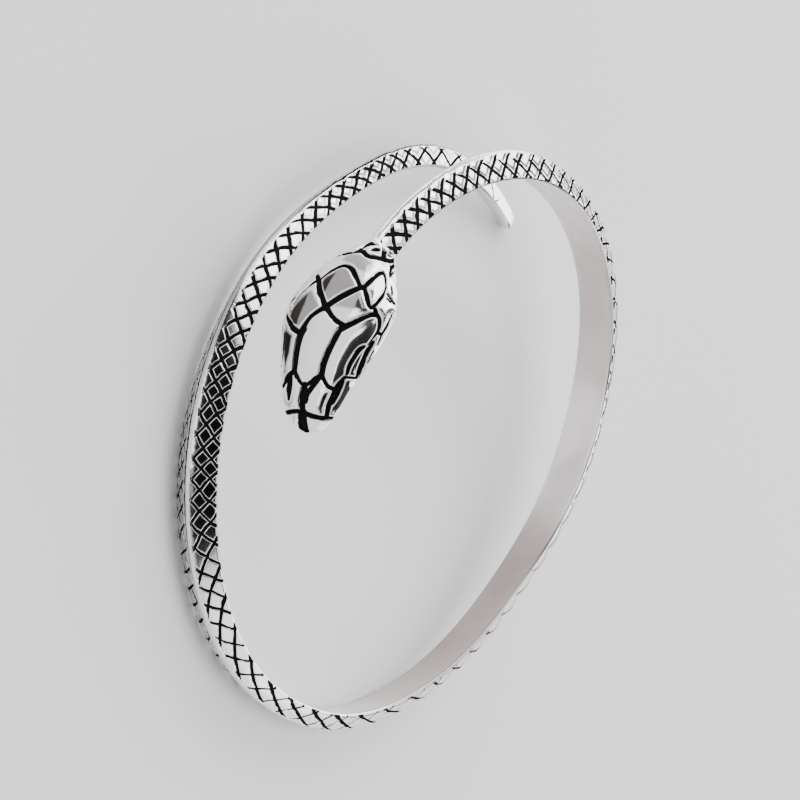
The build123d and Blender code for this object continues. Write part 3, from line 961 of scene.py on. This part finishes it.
def open_ring(mesh):
    """The band's points round its open end at the neck, in order, as numbers."""
    count = Counter(edge for face in mesh.polygons for edge in face.edge_keys)
    beside = defaultdict(list)
    for a, b in (edge for edge, faces in count.items() if faces == 1):
        beside[a].append(b)
        beside[b].append(a)
    ring = [min(beside)]
    while len(ring) < len(beside):
        onward = [p for p in beside[ring[-1]] if len(ring) < 2 or p != ring[-2]]
        ring.append(onward[0])
    return ring


def snake_mesh(band):
    """The band and the head as one closed skin."""
    points, reach, round_share, dark = head_grid()
    normals = grid_normals(points)
    widths = reach / plate_groove
    groove = 1 - smooth_step(*PLATE_WALL, widths)
    swell = 1 - np.exp(-np.maximum(reach - plate_groove / 2, 0) / PLATE_SHOULDER)
    burr = smooth_step(*BURR_RISE, widths) * (1 - smooth_step(*BURR_FALL, widths))
    on_crown = np.arange(points.shape[1]) <= CROWN_COLUMNS
    fade = smooth_step(0, NECK_FADE, along_head())[:, None] * on_crown
    fade = fade * smooth_step(0, JAW_FADE, 1 - abs(round_share))
    lift = fade * (plate_dome * swell + plate_burr * burr - plate_depth * groove)
    points = points + normals * lift[..., None]
    rings, columns = points.shape[:2]

    band_points = np.array([v.co for v in band.vertices])
    ring = open_ring(band)
    start = int(np.argmin(np.linalg.norm(band_points[ring] - points[0, 0], axis=1)))
    ring = ring[start:] + ring[:start]
    away = np.linalg.norm(band_points[ring] - points[0, columns // 4], axis=1)
    if away[len(ring) // 4] > away[-len(ring) // 4]:
        ring = ring[:1] + ring[:0:-1]

    head_points = points[1:].reshape(-1, 3)
    base = len(band_points)
    number = base + np.arange((rings - 1) * columns).reshape(rings - 1, columns)
    nose = base + len(head_points)
    every = np.vstack([band_points, head_points, points[-1].mean(0)])
    faces = [p.vertices for p in band.polygons]
    faces += zip_lines(ring + ring[:1], [*number[0], number[0, 0]],
                       ring_shares(band_points[ring]), ring_shares(points[1]))
    after = np.roll(number, -1, axis=1)
    quads = np.stack([number[:-1], after[:-1], after[1:], number[1:]], -1).reshape(-1, 4)
    faces += [*quads]
    faces += [(a, b, nose) for a, b in zip(number[-1], after[-1])]

    mesh = bpy.data.meshes.new("silver_snake")
    mesh.from_pydata(every.tolist(), [], [tuple(map(int, f)) for f in faces])
    for name in BAND_VECTORS:
        values = np.zeros((len(every), 3), np.float32)
        band.attributes[name].data.foreach_get("vector", values[:base].reshape(-1))
        keep_vectors(mesh, name, *values.T)
    reached, plated, patina, is_head = on_head = np.zeros((4, len(every)))
    on_head[:3, base:-1] = [rows[1:].ravel() for rows in (1000 * reach, fade, dark)]
    is_head[base:] = 1
    keep_vectors(mesh, "plates", reached, plated, is_head)
    # Painted dark reflection on the head's plates
    keep_vectors(mesh, "patina", patina, 0 * patina, 0 * patina)
    return mesh


def laid_down(mesh):
    """Turns the skin as it rests, and puts its box where the solid's is."""
    bearing = math.radians(rest_bearing)
    axis = Vector((math.cos(bearing), math.sin(bearing), 0))
    mesh.transform(Matrix.Rotation(math.radians(rest_tilt), 4, axis))
    points = np.array([v.co for v in mesh.vertices])
    low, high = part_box("snake_bangle")
    middle = (points.min(0) + points.max(0)) / 2
    shift = ((low.x + high.x) / 2 - middle[0], (low.y + high.y) / 2 - middle[1],
             low.z - points[:, 2].min())
    mesh.transform(Matrix.Translation(shift))


# Where the black of a cut ends, and where its painted highlight along the edge begins and
# ends, counted from the middle of the cut: shares of its width on the band, millimetres on the head
BAND_BLACK, BAND_EDGE = (0.36, 0.46), ((0.38, 0.44), (0.50, 0.62))
HEAD_BLACK, HEAD_EDGE = (0.20, 0.26), ((0.24, 0.28), (0.33, 0.45))

# Where the black of the cuts sets in: lanes past the left cuts' margin and past the other
# cuts' one, shares of the full depth, and of the relief of the plates
LEFT_BLACK, MARGIN_BLACK = (0.0, 0.1), (0.02, 0.12)
DEPTH_BLACK, PLATED_BLACK = (0.05, 0.4), (0.1, 0.8)

# The lines beside the ridge reach this many lanes, and the painted shade line inside a scale
# lies this far from the cut and is this wide, in millimetres
RIB_BLACK = (0.12, 0.20)
SHADE_LINE_AT = 0.33
SHADE_LINE_BLACK = (0.04, 0.16)

# The painted dark reflection on the head turns black past this, and the inner face is satin
# past this share of its arch
REFLECTION_PATCH_BLACK = (0.97, 1.0)
SATIN_START = (0.60, 0.85)

# Waves per metre of the noises, the clouds' contrast, and how high the bumps stand
FINE, MIDDLING, BROAD, CLOUDS = 3000.0, 1100.0, 300.0, 110.0
CLOUDY = (0.35, 0.65)
BUMPS = {"Distance": 0.00002, "Strength": 0.5}

# Roughness, and what the satin, the edges, the black and the worn tip add to it
ROUGH, ROUGH_SATIN, ROUGH_EDGE, ROUGH_BLACK, ROUGH_WORN = 0.12, 0.10, 0.26, 0.30, 0.6

POLISHED = (0.94, 0.925, 0.905, 1)
# A painted highlight along the edges of the cuts
PAINTED_EDGE_HIGHLIGHT = (1.0, 0.99, 0.97, 1)
SATIN_DARK, SATIN_PALE = (0.84, 0.74, 0.725, 1), (1.0, 0.945, 0.93, 1)
# Painted shade on the inner face
PAINTED_INNER_SHADE = (0.34, 0.262, 0.235, 1)
# Painted dark reflection on the band's scales and ridge
PAINTED_BAND_REFLECTION = (0.05, 0.05, 0.04, 1)
# Painted dark reflection on the head's plates
PAINTED_HEAD_REFLECTION = (0.040, 0.033, 0.020, 1)
BLACKENED = (0.010, 0.009, 0.010, 1)


def silver_material():
    """Polished silver, black in its cuts, satin on the inner face, with painted highlights on the
    cuts' edges, painted shade and dark reflections.
    """
    material = bpy.data.materials.new("silver")
    material.use_nodes = True
    tree = material.node_tree
    tree.nodes.clear()
    bench = Bench(tree)

    def known(name):
        node = bench.add("ShaderNodeAttribute", settings={"attribute_name": name}, output="Vector")
        return bench.parts(node)

    def mixed(share, first, second):
        inputs = {"Factor": share, "A": first, "B": second}
        return bench.add("ShaderNodeMix", inputs, {"data_type": "RGBA"})

    def noise(scale, detail):
        inputs = {"Vector": spot, "Scale": scale, "Detail": detail}
        return bench.add("ShaderNodeTexNoise", inputs)

    left, right, lane = known("lattice")
    left_spacing, right_spacing, margin = known("spacing")
    deep, wide, painted_shading = known("cutting")
    rib, inner, left_margin = known("border")
    plate_reach, plated, is_head = known("plates")
    patina, _, _ = known("patina")
    echo, worn, _ = known("echo")
    spot = bench.add("ShaderNodeTexCoord", output="Object")
    fine, middling, broad = noise(FINE, 3.0), noise(MIDDLING, 2.0), noise(BROAD, 2.0)
    waver = 0.16 * (fine - 0.5) + 0.45 * (middling - 0.5)
    ragged = 0.5 * (middling - 0.5)

    # Cuts of the band, black only where the graver went in
    late = bench.ramp(abs(lane) - left_margin, *LEFT_BLACK)
    reach = bench.nearest_cut(left, right, left_spacing, right_spacing, late) / wide + waver
    line = 1 - bench.ramp(reach, *BAND_BLACK)
    past_margin = bench.ramp(abs(lane) + ragged, *[margin + lanes for lanes in MARGIN_BLACK])
    cut_here = past_margin * bench.ramp(deep, *DEPTH_BLACK) * (1 - is_head)
    rib_reach = abs(abs(lane) - rib_lane + ragged) + 0.3 * waver
    ribbed = (1 - bench.ramp(rib_reach, *RIB_BLACK)) * rib

    # A painted shade line, which follows two sides of each scale inside it
    beside_right = bench.maths("FRACT", right) * right_spacing
    beside_left = (1 - bench.maths("FRACT", left)) * left_spacing + 1 - late
    beside = abs(bench.maths("MINIMUM", beside_right, beside_left) - SHADE_LINE_AT) + 0.5 * waver
    shade_lined = (1 - bench.ramp(beside, *SHADE_LINE_BLACK)) * echo * cut_here

    # Cuts between the plates
    plate_line = 1 - bench.ramp(plate_reach + 0.45 * waver, *HEAD_BLACK)
    head_here = bench.ramp(plated, *PLATED_BLACK) * is_head
    # Black also takes in the painted shade lines and the darkest painted dark reflection
    black = bench.most(line * cut_here, plate_line * head_here, ribbed * (1 - is_head), shade_lined,
                       0.9 * bench.ramp(patina, *REFLECTION_PATCH_BLACK))

    edge = bench.most(bench.between(reach, *BAND_EDGE) * cut_here,
                      bench.between(plate_reach, *HEAD_EDGE) * head_here)
    satin = bench.ramp(inner + 0.15 * (broad - 0.5), *SATIN_START)

    cloud = bench.ramp(noise(CLOUDS, 3.0), *CLOUDY)
    # Painted shade and a painted highlight on the inner face
    brushed = mixed(painted_shading, mixed(cloud, SATIN_DARK, SATIN_PALE), PAINTED_INNER_SHADE)
    # Painted dark reflection on the band's scales and ridge
    silver = mixed(satin, mixed(painted_shading, POLISHED, PAINTED_BAND_REFLECTION), brushed)
    # Painted dark reflection on the head's plates
    silver = mixed(patina * (0.9 + 0.2 * broad), silver, PAINTED_HEAD_REFLECTION)
    # Painted highlight along the cuts' edges
    colour = mixed(black, mixed(edge, silver, PAINTED_EDGE_HIGHLIGHT), BLACKENED)
    rough = (ROUGH + 0.06 * broad + (ROUGH_SATIN + 0.16 * cloud) * satin
             + ROUGH_EDGE * edge + ROUGH_BLACK * black + ROUGH_WORN * worn)
    height = 0.2 * fine + 0.35 * middling + 0.6 * edge
    bump = bench.add("ShaderNodeBump", {"Height": height, **BUMPS})
    surface = {"Base Color": colour, "Metallic": 1 - black, "Roughness": rough, "Normal": bump,
               "Specular IOR Level": 0.0}
    shader = bench.add("ShaderNodeBsdfPrincipled", surface)
    bench.add("ShaderNodeOutputMaterial", {"Surface": shader})
    return material


# Where the photograph was taken from: which way the camera looks, counted from the y axis
# towards the x axis, and how steeply down, the turn of the frame, the point in its middle and
# how far off that is
view_azimuth = 31.62
view_elevation = 34.67
view_roll = 96.18
view_point = (-0.00225, 0.00331, 0.00237)
view_distance = 0.4114
lens = 180.0


def make_camera():
    azimuth, elevation = math.radians(view_azimuth), math.radians(view_elevation)
    level_reach = math.cos(elevation)
    forward = Vector((math.sin(azimuth) * level_reach, math.cos(azimuth) * level_reach,
                      -math.sin(elevation)))
    camera = put_in_scene("camera", bpy.data.cameras.new("camera"))
    camera.data.lens = lens
    camera.data.sensor_width = 36.0
    camera.data.clip_start = 0.01
    camera.data.clip_end = 20.0
    level = forward.to_track_quat("-Z", "Y").to_matrix().to_4x4()
    roll = Matrix.Rotation(math.radians(view_roll), 4, "Z")
    stand = Matrix.Translation(Vector(view_point) - forward * view_distance)
    camera.matrix_world = stand @ level @ roll
    bpy.context.scene.camera = camera


FLOOR_REACH = 3.0
FLOOR_COLOUR = (0.78, 0.78, 0.81, 1)
FLOOR_ROUGHNESS = 0.7


def make_floor():
    mesh = bpy.data.meshes.new("floor")
    corners = [(x * FLOOR_REACH, y * FLOOR_REACH, 0)
               for x, y in ((-1, -1), (1, -1), (1, 1), (-1, 1))]
    mesh.from_pydata(corners, [], [(0, 1, 2, 3)])
    material = bpy.data.materials.new("pale_floor")
    material.use_nodes = True
    shader = material.node_tree.nodes["Principled BSDF"]
    shader.inputs["Base Color"].default_value = FLOOR_COLOUR
    shader.inputs["Roughness"].default_value = FLOOR_ROUGHNESS
    mesh.materials.append(material)
    floor = put_in_scene("floor", mesh)


# Soft lamps round the bracelet: the way to each and its height in degrees, how far off it
# stands, its width, its height and how bright its face is
LAMPS = (
    ("back_right", 88, 20, 1.0, 1.08, 0.72, 4.6),
    ("back_left", 150, 25, 1.0, 1.15, 0.92, 4.6),
    ("side", -4, 14, 1.0, 0.75, 0.50, 2.6),
    ("front_side", -50, 20, 1.0, 0.95, 0.72, 1.9),
    ("front_strip", -130, 6, 1.0, 1.10, 0.20, 2.8),
    ("high_side", 25, 47, 1.1, 1.30, 0.70, 2.4),
    ("over", 60, 84, 1.2, 1.10, 1.10, 3.0),
)
ROOM_LIGHT, ROOM_COLOUR = 0.02, (1, 1, 1.05, 1)


def make_lamps():
    for name, azimuth, height, distance, wide, high, bright in LAMPS:
        data = bpy.data.lights.new(name, "AREA")
        data.shape = "RECTANGLE"
        data.size, data.size_y = wide, high
        data.energy = bright * math.pi * wide * high
        around, up = math.radians(azimuth), math.radians(height)
        away = Vector((math.cos(around) * math.cos(up), math.sin(around) * math.cos(up),
                       math.sin(up)))
        lamp = put_in_scene(name, data)
        lamp.location = away * distance
        lamp.rotation_euler = away.to_track_quat("Z", "Y").to_euler()
    world = bpy.data.worlds.new("room")
    world.use_nodes = True
    background = world.node_tree.nodes["Background"]
    background.inputs["Color"].default_value = ROOM_COLOUR
    background.inputs["Strength"].default_value = ROOM_LIGHT
    bpy.context.scene.world = world


silver = silver_material()
skin = snake_mesh(scale_band(silver))
laid_down(skin)
skin.materials.clear()
skin.materials.append(silver)
skin.polygons.foreach_set("use_smooth", [True] * len(skin.polygons))
skin.update()
snake = put_in_scene("silver_snake", skin)
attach(snake, "root")
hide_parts("snake_bangle")

make_floor()
make_camera()
make_lamps()
